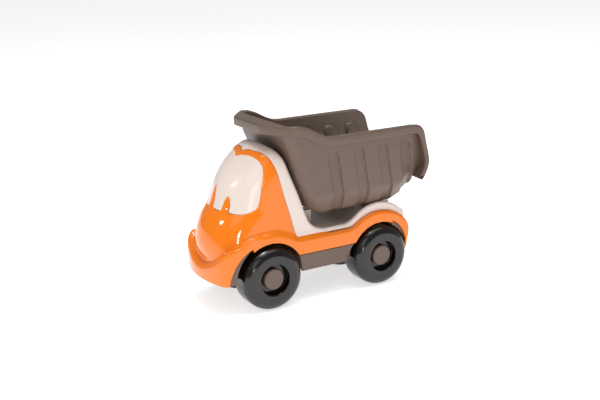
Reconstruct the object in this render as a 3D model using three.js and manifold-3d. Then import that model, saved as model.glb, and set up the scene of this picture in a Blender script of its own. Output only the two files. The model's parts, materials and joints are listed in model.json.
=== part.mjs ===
// Toy dump truck, in millimetres. The truck faces -Y, its left side is +X, and +Z is up.
// The origin is on the ground, below the middle of the truck.
import * as THREE from 'three';
import { mergeVertices } from 'three/addons/utils/BufferGeometryUtils.js';
import Module from 'manifold-3d';

const wasm = await Module();
wasm.setup();

// ---------------------------------------------------------------- driving dimensions
const gap = 0.35; // clearance between neighbouring pieces
const wall = 2.4; // moulded wall thickness

const tyreRadius = 22;
const wheelbase = 87.6;
const frontAxleY = -41.7;
const rearAxleY = frontAxleY + wheelbase;
const tyreOuterX = 34.9;
const tyreInnerX = 16.7;
const hubRadius = 7.4;
const hubFaceX = 33;
const recessRadius = 10.8;
const pinRadius = 3.5;

const bodyHalfWidth = 31.2; // sill, fenders and bumper
const cabHalfWidth = 28.5; // cab side at the sill
const cabTaper = 0.02; // how far the cab side leans in for each millimetre of height
const deckHalfWidth = 28.2;
const sillTop = 46;
const sillBottom = 34.65;
const bodyBottom = 22.3;
const bumperFrontY = -82.4;
const bumperBow = 0.00725; // the bumper's front is at bumperFrontY + bumperBow x^2
const tailY = 72.1;
const frontArchRadius = 24.6;
const rearArchRadius = 24.2;
const frontLinerRadius = 26.2; // inner face of the liner in front of the front wheel
const frontLinerOuter = { y: -44.5, z: 18, radius: 29.05 }; // its outer face drops forward to the bumper
const rearLinerRadius = 23.6;
const linerWall = 1.2;
const frontFenderRadius = 31;
const rearFenderRadius = 32.8;
const rearRim = { y: 46.3, z: 31.5, radius: 28.8 }; // the white rim over the rear fender
const ledgeHeight = 33; // top of the bumper at its middle
const ledgeCurl = 0.0156; // the ledge rises by ledgeCurl x^2 to each side
const ledgeAt = (x) => ledgeHeight + ledgeCurl * x * x + 0.035 * Math.max(Math.abs(x) - 22, 0) ** 2;

const roofTop = 115.5;
const deckFloor = 47;
const deckRim = 49;
const deckEndY = 69;

const bedBottom = 59.2;
const bedKink = 72.2; // height where the side wall turns in
const bedBottomHalf = 24.2;
const bedKinkHalf = 33;
const bedTopHalf = 36.1;
const rimHalfWidth = 40.25;
const rimBottom = 109.1;
const rimTop = 115.3;
const canopyBottom = 118.8;
const canopyTop = 125;
const canopyFrontY = -41.2;
const kickStartY = 55; // the bed's floor rises behind this line
const bedEndY = 82.4;
const ribYs = [4.1, 24.8, 44.6, 63.3];
const ribWidth = 8.4;
const ribDepth = 1.7;
const ribTop = 105.2;
const ribLean = 0.2; // how far a rib moves back for each millimetre below its top

const hingeY = 62;
const hingeZ = 53.5;
const hingeRadius = 1.5;

const skirtBottom = 22.5;
const skirtX = 30.8;
const floorThickness = 2.4;
const spineHalfWidth = 13.5;

const screwSpots = {
  chassis_screw_front_left: [12, -72.6],
  chassis_screw_front_right: [-12, -72.6],
  chassis_screw_middle_left: [22.5, -8],
  chassis_screw_middle_right: [-22.5, -8],
  chassis_screw_rear_left: [6.6, 56.6],
  chassis_screw_rear_right: [-6.6, 56.6],
};

// ---------------------------------------------------------------- materials
const plastic = (color, roughness) => new THREE.MeshStandardMaterial({ color, roughness, metalness: 0 });
const orange = plastic('#fb7d1e', 0.22);
const white = plastic('#f0e4dc', 0.25);
const grey = plastic('#76665a', 0.45);
const black = plastic('#1e1816', 0.3);
const steel = new THREE.MeshStandardMaterial({ color: '#b9b9b6', roughness: 0.35, metalness: 1 });

// ---------------------------------------------------------------- solids
function solid(geometry) {
  const bare = new THREE.BufferGeometry();
  bare.setAttribute('position', geometry.getAttribute('position'));
  if (geometry.index) bare.setIndex(geometry.index);
  const merged = mergeVertices(bare, 1e-4);
  return new wasm.Manifold(new wasm.Mesh({
    numProp: 3,
    vertProperties: new Float32Array(merged.getAttribute('position').array),
    triVerts: new Uint32Array(merged.index.array),
  }));
}

function geometryOf(manifold) {
  const mesh = manifold.getMesh();
  const geometry = new THREE.BufferGeometry();
  geometry.setAttribute('position', new THREE.BufferAttribute(new Float32Array(mesh.vertProperties), 3));
  geometry.setIndex(new THREE.BufferAttribute(new Uint32Array(mesh.triVerts), 1));
  geometry.computeVertexNormals();
  return geometry;
}

const join = (...parts) => parts.reduce((whole, part) => whole.add(part));
const cut = (whole, ...tools) => tools.reduce((rest, tool) => rest.subtract(tool), whole);

function piece(name, manifold, material) {
  const mesh = new THREE.Mesh(geometryOf(manifold), material);
  mesh.name = name;
  return mesh;
}

function extruded(shape, depth, bevel, steps) {
  return new THREE.ExtrudeGeometry(shape, {
    depth: depth - 2 * bevel,
    bevelEnabled: bevel > 0,
    bevelThickness: bevel,
    bevelSize: bevel,
    bevelOffset: -bevel,
    bevelSegments: 3,
    curveSegments: steps,
  }).translate(0, 0, bevel);
}

// A shape drawn in (y, z), swept across the truck from x0 to x1.
function acrossX(shape, x0, x1, bevel = 0, steps = 12) {
  const turn = new THREE.Matrix4().set(0, 0, 1, x0, 1, 0, 0, 0, 0, 1, 0, 0, 0, 0, 0, 1);
  return solid(extruded(shape, x1 - x0, bevel, steps).applyMatrix4(turn));
}

// A shape drawn in (x, z), swept along the truck from y0 to y1.
function alongY(shape, y0, y1, bevel = 0, steps = 12) {
  const turn = new THREE.Matrix4().set(1, 0, 0, 0, 0, 0, -1, y1, 0, 1, 0, 0, 0, 0, 0, 1);
  return solid(extruded(shape, y1 - y0, bevel, steps).applyMatrix4(turn));
}

// A shape drawn in (x, y), raised from z0 to z1.
function upZ(shape, z0, z1, bevel = 0, steps = 12) {
  return solid(extruded(shape, z1 - z0, bevel, steps).translate(0, 0, z0));
}

const outline = (points) => new THREE.Shape(points.map(([a, b]) => new THREE.Vector2(a, b)));

function block([x0, x1], [y0, y1], [z0, z1]) {
  const box = new THREE.BoxGeometry(x1 - x0, y1 - y0, z1 - z0);
  return solid(box.translate((x0 + x1) / 2, (y0 + y1) / 2, (z0 + z1) / 2));
}

function rodX(radius, x0, x1, y, z, sides = 24) {
  const rod = new THREE.CylinderGeometry(radius, radius, x1 - x0, sides);
  return solid(rod.rotateZ(Math.PI / 2).translate((x0 + x1) / 2, y, z));
}

function rodZ(radius, z0, z1, x, y, sides = 12) {
  const rod = new THREE.CylinderGeometry(radius, radius, z1 - z0, sides);
  return solid(rod.rotateX(Math.PI / 2).translate(x, y, (z0 + z1) / 2));
}

// A solid of revolution about the X axis, from points of (x, radius).
function turnedX(points, sides) {
  const profile = points.map(([x, radius]) => new THREE.Vector2(radius, x)).reverse();
  return solid(new THREE.LatheGeometry(profile, sides).rotateZ(-Math.PI / 2));
}

// A smooth curve through points of (position, value), read at t.
function smoothValue(points, t) {
  const last = points.length - 1;
  const slope = (i) => {
    const a = points[Math.max(i - 1, 0)];
    const b = points[Math.min(i + 1, last)];
    return (b[1] - a[1]) / (b[0] - a[0]);
  };
  if (t <= points[0][0]) return points[0][1] + (t - points[0][0]) * slope(0);
  if (t >= points[last][0]) return points[last][1] + (t - points[last][0]) * slope(last);
  const i = points.findIndex(([at]) => at > t) - 1;
  const width = points[i + 1][0] - points[i][0];
  const s = (t - points[i][0]) / width;
  const rise = (1 - s) ** 2 * s * width * slope(i) - s * s * (1 - s) * width * slope(i + 1);
  return (1 + 2 * s) * (1 - s) ** 2 * points[i][1] + s * s * (3 - 2 * s) * points[i + 1][1] + rise;
}

// Joins several outward distances into one, with their common edges rounded to a radius.
function roundedMax(radius, ...distances) {
  const over = distances.reduce((sum, d) => sum + Math.max(d + radius, 0) ** 2, 0);
  return Math.min(Math.max(...distances), -radius) + Math.sqrt(over);
}

// ---------------------------------------------------------------- the cab's form
// Middle line of the cab's front, as (z, y): hood, windscreen and brow.
const cabFront = [
  [30, -76], [44, -79.8], [55, -79], [64, -75.5], [71, -70.6], [78, -68.2], [86, -65.2],
  [95, -59], [102.7, -50.5], [106.5, -44.5], [110, -36], [112.5, -26], [114, -14],
];
// The cab's back wall, as (z, y).
const cabBack = [
  [46, 2.8], [49, 0.5], [51, -5], [55.3, -9.8], [60.5, -12.3], [67, -14.6], [77, -18], [88, -22.5],
  [98, -26.5], [105, -30], [110, -34], [114, -40],
];

function cabDistance(x, y, z) {
  const lift = Math.min(Math.max((z - 70) / 40, -1.2), 1.2);
  const bow = 0.021 + 0.006 * lift - 0.012 * lift * lift;
  const lean = smoothValue(cabFront, z + 0.5) - smoothValue(cabFront, z - 0.5);
  const front = (smoothValue(cabFront, z) + bow * x * x - y) / Math.hypot(1, lean, 2 * bow * x);
  const side = Math.abs(x) - (cabHalfWidth - cabTaper * (z - sillTop));
  const top = z - (roofTop - 0.012 * x * x);
  const back = (y - smoothValue(cabBack, z)) * 0.94;
  return roundedMax(3, roundedMax(9, front, side, top), back);
}

// The closed form that lies `depth` inside the cab's outer face, found along rays from its middle.
function cabForm(depth, rows = 18, columns = 32) {
  const middle = new THREE.Vector3(0, -42, 72);
  const sphere = new THREE.SphereGeometry(1, columns, rows).rotateX(Math.PI / 2);
  const at = sphere.getAttribute('position');
  const ray = new THREE.Vector3();
  for (let i = 0; i < at.count; i++) {
    ray.fromBufferAttribute(at, i);
    let inside = 0;
    let outside = 90;
    for (let halving = 0; halving < 30; halving++) {
      const reach = (inside + outside) / 2;
      const p = ray.clone().multiplyScalar(reach).add(middle);
      const distance = Math.max(cabDistance(p.x, p.y, p.z) + depth, 28 - p.z);
      if (distance < 0) inside = reach;
      else outside = reach;
    }
    ray.multiplyScalar(inside).add(middle);
    at.setXYZ(i, ray.x, ray.y, ray.z);
  }
  return solid(sphere);
}

// Edge between the orange cab and the white pillar and roof, as (y, z), from the sill to the brow.
const pillarEdge = [
  [-16, 45.9], [-19.4, 46.3], [-21.3, 48], [-22.4, 51], [-25.6, 63.2], [-28.9, 74.8],
  [-32.1, 87], [-33.9, 93.3], [-35.4, 98], [-37, 101.8], [-38.6, 104.7], [-40.6, 106.4], [-43, 106.9],
];

// Everything that is white: behind the pillar's edge and above the brow, grown by `extra`.
function whiteSide(extra) {
  const edge = pillarEdge.map(([y, z]) => [y - extra, z - extra * 0.3]);
  const around = [[-90, 106.9 - extra], [-90, 140], [110, 140], [110, 45.9 - extra]];
  const side = outline([...edge, ...around].reverse());
  const dip = outline([[-5, 107.2 - extra], [0, 105.9 - extra], [5, 107.2 - extra]]);
  return join(acrossX(side, -60, 60), alongY(dip, -60, -35));
}

// The windscreen's outline in the front view: two arched panes that meet in the middle.
function paneOutline(inset) {
  const shape = new THREE.Shape();
  const half = (side) => [
    [side * 2.2, 69.6 + inset], [side * 10.6, 69.6 + inset],
    [side * 10.8, 73], [side * 11.6, 77], [side * 13.1, 78.6 + inset], [side * 14.7, 77], [side * 15.9, 73],
    [side * 16.6, 69.2 + inset], [side * 22.5, 68.2 + inset], [side * (25.4 - inset), 70],
    [side * (26.4 - inset), 74], [side * (26.2 - inset), 82], [side * (25.6 - inset), 90],
    [side * (24.5 - inset), 95.7], [side * (23 - inset), 99], [side * 19.5, 101.9 - inset],
    [side * 14.5, 103.6 - inset],
    [side * 9, 104 - inset], [side * 4, 103.5 - inset],
  ];
  const left = half(1);
  const right = half(-1).reverse();
  const tongue = [[0, 85.4 + inset], [1.3, 83], [2.1, 78]];
  const points = [...tongue, ...left, [0, 102.5 - inset], ...right, [-2.1, 78], [-1.3, 83]];
  shape.setFromPoints(points.map(([x, z]) => new THREE.Vector2(x, z)));
  return shape;
}

// ---------------------------------------------------------------- body shell
const disc = (y, z, radius) => {
  const shape = new THREE.Shape();
  shape.absarc(y, z, radius, 0, 2 * Math.PI, false);
  return shape;
};

// Plan of the lower body: a bowed front with rounded corners and a square tail.
function bodyPlan(inset) {
  const half = bodyHalfWidth - inset;
  const front = [];
  for (let i = -7; i <= 7; i++) {
    const x = (half - 4) * (i / 7);
    front.push([x, bumperFrontY + inset + bumperBow * x * x]);
  }
  const cornerY = bumperFrontY + inset + bumperBow * half * half + 3.6;
  front.push([half - 1.2, cornerY - 2.6]);
  front.unshift([1.2 - half, cornerY - 2.6]);
  return outline([...front, [half, cornerY], [half, tailY - inset - 3], [half - 3, tailY - inset],
    [3 - half, tailY - inset], [-half, tailY - inset - 3], [-half, cornerY]]);
}

// Side view of the sill, both fenders and the bumper.
function lowerBody() {
  const bumperTop = ledgeAt(bodyHalfWidth);
  const sill = acrossX(outline([[-83, bodyBottom], [tailY, bodyBottom], [tailY, 40], [69, sillTop],
    [-54, sillTop], [-56, bumperTop], [-83, bumperTop]]), -bodyHalfWidth, bodyHalfWidth, 2);
  const fender = (axleY, radius) =>
    acrossX(disc(axleY, tyreRadius, radius), -bodyHalfWidth, bodyHalfWidth, 2.4);
  const frontFender = fender(frontAxleY, frontFenderRadius);
  const rearFender = fender(rearAxleY, rearFenderRadius);
  const whole = join(sill, frontFender, rearFender).intersect(upZ(bodyPlan(0), bodyBottom, 80));
  return cut(whole.intersect(tailTaper()), ledgeCut());
}

// Side view that draws the tail in below and above its fullest line.
function tailTaper() {
  const rear = [[69.3, bodyBottom - 1], [70.9, 28.8], [71.9, 34], [tailY, 39], [71.3, 42.5], [69.4, 45.8],
    [66, 49]];
  return acrossX(outline([[-100, bodyBottom - 1], ...rear, [60, 60], [-100, 60]]), -50, 50);
}

// The space above the bumper's ledge, which dips in the middle like a smile.
function ledgeCut() {
  const points = [];
  for (let i = -8; i <= 8; i++) {
    const x = 34 * (i / 8);
    points.push([x, ledgeAt(x)]);
  }
  return alongY(outline([...points, [34, 90], [-34, 90]]), -100, frontAxleY - 14);
}

// The fenders' outer lips stay orange beside the white deck.
function fenderLips() {
  const x0 = deckHalfWidth + gap;
  return join(...[[frontAxleY, frontFenderRadius], [rearAxleY, rearFenderRadius]].flatMap(([y, radius]) => [
    acrossX(disc(y, tyreRadius, radius + 0.1), x0, bodyHalfWidth + 1),
    acrossX(disc(y, tyreRadius, radius + 0.1), -bodyHalfWidth - 1, -x0),
  ]));
}

function arches(x0, x1) {
  return join(
    acrossX(disc(frontAxleY, tyreRadius, frontArchRadius), x0, x1),
    acrossX(disc(rearAxleY, tyreRadius, rearArchRadius), x0, x1),
  );
}

// In front of and behind the wheels the arches step out, where the grey liners show.
function linerRoom() {
  const { y, z, radius } = frontLinerOuter;
  const front = cut(acrossX(disc(y, z, radius + gap), -40, 40), block([-50, 50], [-55, 0], [0, 60]));
  const rear = cut(acrossX(disc(rearAxleY, tyreRadius, rearLinerRadius + linerWall + gap), -40, 40),
    block([-50, 50], [0, 56.5], [0, 60]));
  return join(front, rear);
}

function bodyShell() {
  const inner = join(
    upZ(bodyPlan(wall), bodyBottom - 1, 31.5),
    upZ(bodyPlan(wall), 31, 80).intersect(block([-40, 40], [-21, 90], [0, 90])),
    cut(upZ(bodyPlan(wall), 20, 80), ledgeCut().translate(0, 0, -wall))
      .intersect(block([-28, 28], [-100, -20], [0, 43])),
  );
  const outer = join(lowerBody(), cabForm(0));
  const open = join(cabForm(wall), inner);
  const shell = cut(
    outer, open, arches(-50, 50), linerRoom(),
    cut(whiteSide(gap), fenderLips()),
    block([-50, 50], [-20.5, 25], [0, sillBottom]),
    block([-deckHalfWidth - gap, deckHalfWidth + gap], [-18, 100], [20, 90]),
    block([-50, 50], [-40, 100], [0, bodyBottom + 1.2]),
    alongY(paneOutline(0), -90, -42),
  );
  const tailHalf = deckHalfWidth + 1;
  const tail = join(
    block([-tailHalf, tailHalf], [tailY - wall, tailY], [26, 43.8]),
    block([-tailHalf, tailHalf], [tailY - wall - 1.5, tailY], [26, 39.5]),
  );
  return join(shell, cut(tail.intersect(tailTaper()), linerRoom()), screwBosses(['front', 'middle']));
}

// Hollow posts that the chassis screws bite into, each with a web to the nearest wall.
function screwBosses(rows) {
  const posts = Object.entries(screwSpots)
    .filter(([name]) => rows.some((row) => name.includes(row)))
    .map(([name, [x, y]]) => {
      const floorTop = skirtBottom + floorThickness + gap;
      const isMiddle = name.includes('middle');
      const top = name.includes('rear') ? deckFloor - wall + 0.5 : isMiddle ? sillTop - 4 : 36;
      const post = rodZ(3.4, floorTop, top, x, y);
      const outward = Math.sign(x) * (bodyHalfWidth - 1);
      const web = isMiddle
        ? block([Math.min(x, outward), Math.max(x, outward)], [y - 1, y + 1], [sillBottom + 0.2, top])
        : block([x - 1, x + 1], [Math.min(y, -79.5), y], [29, 35]);
      const whole = name.includes('rear') ? post : join(post, web);
      return cut(whole, rodZ(1.75, floorTop - 1, floorTop + 9, x, y));
    });
  return join(...posts);
}

// ---------------------------------------------------------------- white deck, back and roof
function deckShell() {
  const cabPart = cut(cabForm(0), cabForm(wall)).intersect(whiteSide(0));
  const rimArc = [];
  for (let i = 0; i <= 10; i++) {
    const turn = THREE.MathUtils.degToRad(139 - 98 * (i / 10));
    rimArc.push([rearRim.y + rearRim.radius * Math.cos(turn), rearRim.z + rearRim.radius * Math.sin(turn)]);
  }
  const side = outline([[-24, 46.1], [deckEndY, 46.1], [deckEndY, 49.5], ...rimArc.reverse(), [19, deckRim],
    [0.5, deckRim], [-5, 51], [-9.8, 55.3], [-12.3, 60.5], [-20, 60.5]]);
  const body = acrossX(side, -deckHalfWidth, deckHalfWidth, 0.8).intersect(whiteSide(0));
  const pocketSide = outline([[-30, deckFloor], [90, deckFloor], [90, 90], [-30, 90]]);
  const pocket = acrossX(pocketSide, -deckHalfWidth + wall, deckHalfWidth - wall);
  const tailWall = block([-deckHalfWidth + 1, deckHalfWidth - 1], [deckEndY - wall, deckEndY], [40, 51]);
  const floor = block([-deckHalfWidth + 1, deckHalfWidth - 1], [-19, deckEndY - 1],
    [deckFloor - wall, deckFloor]);
  const well = acrossX(disc(rearAxleY, tyreRadius, rearArchRadius + gap + wall), -deckHalfWidth + 0.4,
    deckHalfWidth - 0.4).intersect(block([-50, 50], [0, 90], [deckFloor - 1, 60]));
  const tray = cut(join(cut(body, pocket), tailWall, floor, well),
    acrossX(disc(rearAxleY, tyreRadius, rearArchRadius + gap), -50, 50));
  const inCab = cabForm(wall).intersect(block([-50, 50], [-90, -2.5], [48.6, 140]));
  const rests = join(block([5, 9], [-4, 2], [deckFloor - 1, bedBottom - gap]),
    block([-9, -5], [-4, 2], [deckFloor - 1, bedBottom - gap]));
  const bracket = (x0) => cut(
    join(
      acrossX(disc(hingeY, hingeZ, 4), x0, x0 + 3),
      block([x0, x0 + 3], [58, 66], [deckFloor - 1, hingeZ]),
    ),
    rodX(hingeRadius + gap, x0 - 1, x0 + 4, hingeY, hingeZ, 16),
  );
  const brackets = join(bracket(10.2), bracket(-13.2));
  const mark = rodZ(2.6, deckFloor - 1, deckFloor + 0.6, 9.5, 35.5);
  const insideTail = block([-50, 50], [deckEndY, 100], [0, 90]);
  return cut(join(cabPart, cut(tray, inCab, insideTail), rests, brackets, mark, screwBosses(['rear'])),
    block([-60, 60], [-90, -17], [30, 45.9]));
}

// ---------------------------------------------------------------- windscreen
// It clips in from behind: the pane fills the opening and a wider lip lies against the cab's inside.
function windscreen() {
  const pane = cut(cabForm(0.9), cabForm(3.4)).intersect(alongY(paneOutline(gap * 0.8), -90, -42));
  const grown = outline([[-24, 66.2], [24, 66.2], [27.5, 70], [27.5, 84], [26, 96], [23, 101.5], [16, 105.2],
    [-16, 105.2], [-23, 101.5], [-26, 96], [-27.5, 84], [-27.5, 70]]);
  const lip = cut(cabForm(wall + gap, 14, 24), cabForm(wall + gap + 1.2, 14, 24))
    .intersect(alongY(grown, -90, -44.5));
  return join(pane, cut(lip, whiteSide(1)));
}

// ---------------------------------------------------------------- chassis
function archLiner(axleY, radius, thickness, from, to) {
  const shape = new THREE.Shape();
  const a = THREE.MathUtils.degToRad(from);
  const b = THREE.MathUtils.degToRad(to);
  shape.absarc(axleY, tyreRadius, radius + thickness, a, b, false);
  shape.absarc(axleY, tyreRadius, radius, b, a, true);
  return acrossX(shape, -skirtX + 0.4, skirtX - 0.4);
}

// The liner in front of the front wheel: thick at its sides, where it shows, and thin by the screw posts.
function frontLiner() {
  const { y, z, radius } = frontLinerOuter;
  const half = skirtX - 0.4;
  const thick = acrossX(disc(y, z, radius), -half, half);
  const postSide = cut(block([-18.5, 18.5], [-90, -50], [0, 60]),
    acrossX(disc(frontAxleY, tyreRadius, frontLinerRadius + linerWall), -50, 50));
  const ahead = block([-half, half], [-90, -55.4], [skirtBottom, 60]);
  const wheelRoom = acrossX(disc(frontAxleY, tyreRadius, frontLinerRadius), -50, 50);
  return cut(thick.intersect(ahead), postSide, wheelRoom);
}

function chassis() {
  const top = skirtBottom + floorThickness;
  const skirtTop = sillBottom - gap;
  const middle = outline([[-24, skirtBottom], [24, skirtBottom], [24, skirtTop], [-24, skirtTop]]);
  const tub = cut(
    acrossX(middle, -skirtX, skirtX, 0.6),
    block([-skirtX + wall, skirtX - wall], [-30, 30], [top, 60]),
    arches(-50, 50),
  );
  const wheelWalls = join(
    archLiner(frontAxleY, frontArchRadius, wall, 1, 24),
    archLiner(rearAxleY, rearArchRadius, wall, 156, 179),
    frontLiner(),
    archLiner(rearAxleY, rearLinerRadius, linerWall, 0.5, 62),
  );
  const spine = block([-spineHalfWidth, spineHalfWidth], [-66, 69], [skirtBottom, top]);
  const rails = join(
    block([-spineHalfWidth, -spineHalfWidth + wall], [-66, 67.5], [skirtBottom, 33]),
    block([spineHalfWidth - wall, spineHalfWidth], [-66, 67.5], [skirtBottom, 33]),
  );
  const nosePlate = block([-18, 18], [-76, -64], [skirtBottom, top]);
  const axles = [frontAxleY, rearAxleY];
  const sleeves = axles.map((y) => rodX(pinRadius + wall + 0.6, -15.9, 15.9, y, tyreRadius, 18));
  const bores = axles.map((y) => rodX(pinRadius + gap, -20, 20, y, tyreRadius, 18));
  const spots = Object.values(screwSpots);
  const holes = spots.map(([x, y]) => rodZ(1.7, skirtBottom - 5, top + 2, x, y));
  const sinks = spots.map(([x, y]) => rodZ(3.1, skirtBottom - 5, skirtBottom + 1.3, x, y));
  const postRoom = block([-12, 12], [50, 61], [30, 50]);
  const whole = join(tub, cut(wheelWalls, postRoom), spine, rails, nosePlate, ...sleeves);
  return cut(whole, ...bores, ...holes, ...sinks);
}

// ---------------------------------------------------------------- tipping bed
const kick = (y) => 14.9 * (Math.max(y - kickStartY, 0) / (bedEndY - 1 - kickStartY)) ** 1.6;

// Half width of the bed's outer face at height z, taken above the risen floor.
function bedHalf(z) {
  const flare = z < bedKink
    ? (bedKinkHalf - bedBottomHalf) / (bedKink - bedBottom)
    : (bedTopHalf - bedKinkHalf) / (rimBottom - bedKink);
  return bedKinkHalf + (z - bedKink) * flare;
}

// The bed's form: cross sections that rise with the floor at the rear, `inset` inside the outer face.
function bedForm(inset, top) {
  const stations = [-60, 0, kickStartY, 60, 65, 70, 76, bedEndY + 8];
  const section = (y) => {
    const low = bedBottom + kick(y) + inset;
    const turnZ = bedKink + kick(y) + inset * 0.45;
    const round = 2.5;
    return [
      [bedHalf(low - kick(y)) - inset * 1.2 - round, low],
      [bedHalf(low - kick(y) + round * 0.7) - inset * 1.2, low + round * 0.7],
      [bedKinkHalf - inset, turnZ],
      [bedHalf(top) - inset, top],
    ];
  };
  const positions = [];
  const index = [];
  const ring = 8;
  stations.forEach((y) => {
    const right = section(y);
    const points = [...right, ...right.map(([x, z]) => [-x, z]).reverse()];
    points.forEach(([x, z]) => positions.push(x, y, z));
  });
  for (let s = 0; s + 1 < stations.length; s++) {
    for (let i = 0; i < ring; i++) {
      const a = s * ring + i;
      const b = s * ring + ((i + 1) % ring);
      index.push(a, b + ring, b, a, a + ring, b + ring);
    }
  }
  const end = (stations.length - 1) * ring;
  for (let i = 1; i + 1 < ring; i++) {
    index.push(0, i, i + 1);
    index.push(end, end + i + 1, end + i);
  }
  const geometry = new THREE.BufferGeometry();
  geometry.setAttribute('position', new THREE.Float32BufferAttribute(positions, 3));
  geometry.setIndex(index);
  return solid(geometry);
}

// The bed's front wall follows the cab's back. Everything behind it, as a side view.
function behindFrontWall(inset) {
  const front = [[-5.5, 55], [-7.5, 60.9], [-11.2, 64], [-13.2, 70], [-16, 77], [-20.3, 88], [-23.8, 98],
    [-26.8, 106], [-29.4, 113], [-31, 126]];
  const points = front.map(([y, z]) => [y + inset, z + inset * 0.3]);
  return acrossX(outline([...points, [110, 140], [110, 50]].reverse()), -60, 60);
}

// The rim's band in the side view: level, up over the cab in front, down the rear edge to a tip.
function rimBand() {
  const topEdge = [[-50, canopyTop], [-24, canopyTop], [-18, 123.9], [-10, 120.2], [-3, 116.8], [5, rimTop],
    [69, rimTop], [74, 114], [77.6, 110.3], [79.3, 101.6], [82.2, 90.6], [bedEndY, 86.9], [78, 77.2],
    [76.2, 74.1]];
  const lowEdge = [[-50, canopyBottom], [-24, canopyBottom], [-17, 117.4], [-10, 113.6], [-2, 110.3],
    [5, rimBottom], [66, rimBottom], [70.6, 107.6], [73.2, 101], [76, 90.5], [76.2, 87.6], [70.5, 77]];
  return outline([...lowEdge, ...topEdge.reverse()]);
}

function rimPlan(half, frontY, rearY, slant) {
  return outline([[half, -24.3], [half, rearY], [-half, rearY], [-half, -24.3],
    [-half + 2, -28], [-slant, frontY + 2], [-slant + 5, frontY], [slant - 5, frontY], [slant, frontY + 2],
    [half - 2, -28]].reverse());
}

function ribTools(side, depth, thickness) {
  const lean = new THREE.Matrix4().set(1, 0, 0, 0, 0, 1, -ribLean, ribLean * ribTop, 0, 0, 1, 0, 0, 0, 0, 1);
  return ribYs.map((y) => {
    const low = bedBottom + kick(y) - 4;
    const face = (z, inset) => side * (bedHalf(Math.max(z - kick(y), 50)) - inset);
    const levels = [low, bedKink + kick(y), ribTop - 3, ribTop];
    const points = [
      ...levels.map((z) => [face(z, depth + (z === ribTop ? -2 : 0)), z]),
      ...levels.map((z) => [face(z, depth + thickness), z]).reverse(),
    ];
    const shape = outline(side > 0 ? points.reverse() : points);
    const half = ribWidth / 2 + (thickness > 0 ? 0.9 : 0);
    return alongY(shape, y - half, y + half).transform(lean.elements);
  });
}

function tipperBed() {
  const outer = bedForm(0, rimTop + 6).intersect(behindFrontWall(0));
  const inner = bedForm(wall, rimTop + 8).intersect(behindFrontWall(wall));
  const grooves = [...ribTools(1, ribDepth, -6), ...ribTools(-1, ribDepth, -6)];
  const ribs = [...ribTools(1, ribDepth, wall), ...ribTools(-1, ribDepth, wall)]
    .map((rib) => rib.intersect(bedForm(0.5, rimTop)));
  const behind = [[66, 130], [66, 112], [72, 108], [74.5, 101.6], [77.5, 90.6], [77.6, 87.5], [74.5, 80],
    [78, 73.5], [bedEndY, 71], [100, 71], [100, 130]];
  const rearTrim = acrossX(outline(behind.reverse()), -60, 60);
  const sunkSides = cut(outer, ...grooves);
  const above = acrossX(outline([[-60, 121], [-24, 121], [-17, 119.5], [-10, 116.5], [-2, 113.4], [5, 112.4],
    [100, 112.4], [100, 150], [-60, 150]]), -60, 60);
  const tub = cut(sunkSides, cut(inner, ...ribs), rearTrim, above);
  const opening = cut(bedForm(wall, rimTop + 20), block([-60, 60], [-60, -29], [0, 200]));
  const rim = cut(acrossX(rimBand(), -rimHalfWidth, rimHalfWidth)
    .intersect(upZ(rimPlan(rimHalfWidth, canopyFrontY, 100, 24), 60, 130)), opening);
  const underCanopy = upZ(rimPlan(rimHalfWidth - wall, canopyFrontY + wall, -24, 23), 110, canopyTop - wall)
    .intersect(block([-60, 60], [-60, -31.4], [100, 140]));
  const lug = (x0) => join(
    acrossX(disc(hingeY, hingeZ, 4), x0, x0 + 4),
    block([x0, x0 + 4], [58, 66], [hingeZ, bedBottom + 1.5]),
  );
  const lugs = cut(join(lug(5.2), lug(-9.2)), rodX(hingeRadius + gap, -20, 20, hingeY, hingeZ, 16));
  return join(tub, cut(rim, underCanopy), lugs);
}

// ---------------------------------------------------------------- wheels, pins and screws
// A hollow wheel with a rounded tyre, a deep recess for the hub and a bore through its hub tube.
function wheel() {
  const shoulder = 6.5;
  const bore = pinRadius + 0.4;
  const profile = [[tyreInnerX, 19.6], [tyreInnerX, 20.8], [tyreInnerX + 1.2, tyreRadius]];
  for (let i = 0; i <= 4; i++) {
    const turn = (Math.PI / 2) * (i / 4);
    profile.push([tyreOuterX - shoulder + shoulder * Math.sin(turn),
      tyreRadius - shoulder + shoulder * Math.cos(turn)]);
  }
  profile.push([tyreOuterX, recessRadius + 0.8], [tyreOuterX - 0.8, recessRadius], [29.5, recessRadius],
    [29.5, bore], [tyreInnerX + 0.6, bore], [tyreInnerX + 0.6, bore + wall], [27, bore + wall],
    [27, recessRadius + wall], [tyreOuterX - wall, recessRadius + wall], [tyreOuterX - wall, 15],
    [31.2, 18], [28, 19.6], [tyreInnerX, 19.6]);
  return turnedX(profile.reverse(), 26);
}

// A stub axle: the wheel turns on it, its wide flat head is the hub, and its barbed end sits in the chassis.
function axlePin() {
  const profile = [[hubFaceX, 0], [hubFaceX, hubRadius - 0.9], [hubFaceX - 0.9, hubRadius],
    [hubFaceX - 3, hubRadius], [hubFaceX - 3, pinRadius], [1.6, pinRadius], [0.6, pinRadius - 0.9],
    [0.6, 0]];
  return turnedX(profile, 24);
}

function screw(x, y) {
  const profile = [[0, 0], [2.7, 0], [2.7, 1.4], [1.35, 2], [1.35, 9.4], [0.5, 10.8], [0, 11]];
  const lathe = new THREE.LatheGeometry(profile.map(([r, h]) => new THREE.Vector2(r, h)), 12);
  return solid(lathe.rotateX(Math.PI / 2).translate(x, y, skirtBottom - 0.9));
}

function hingePin() {
  return rodX(hingeRadius, -14, 14, hingeY, hingeZ, 16);
}

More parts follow.
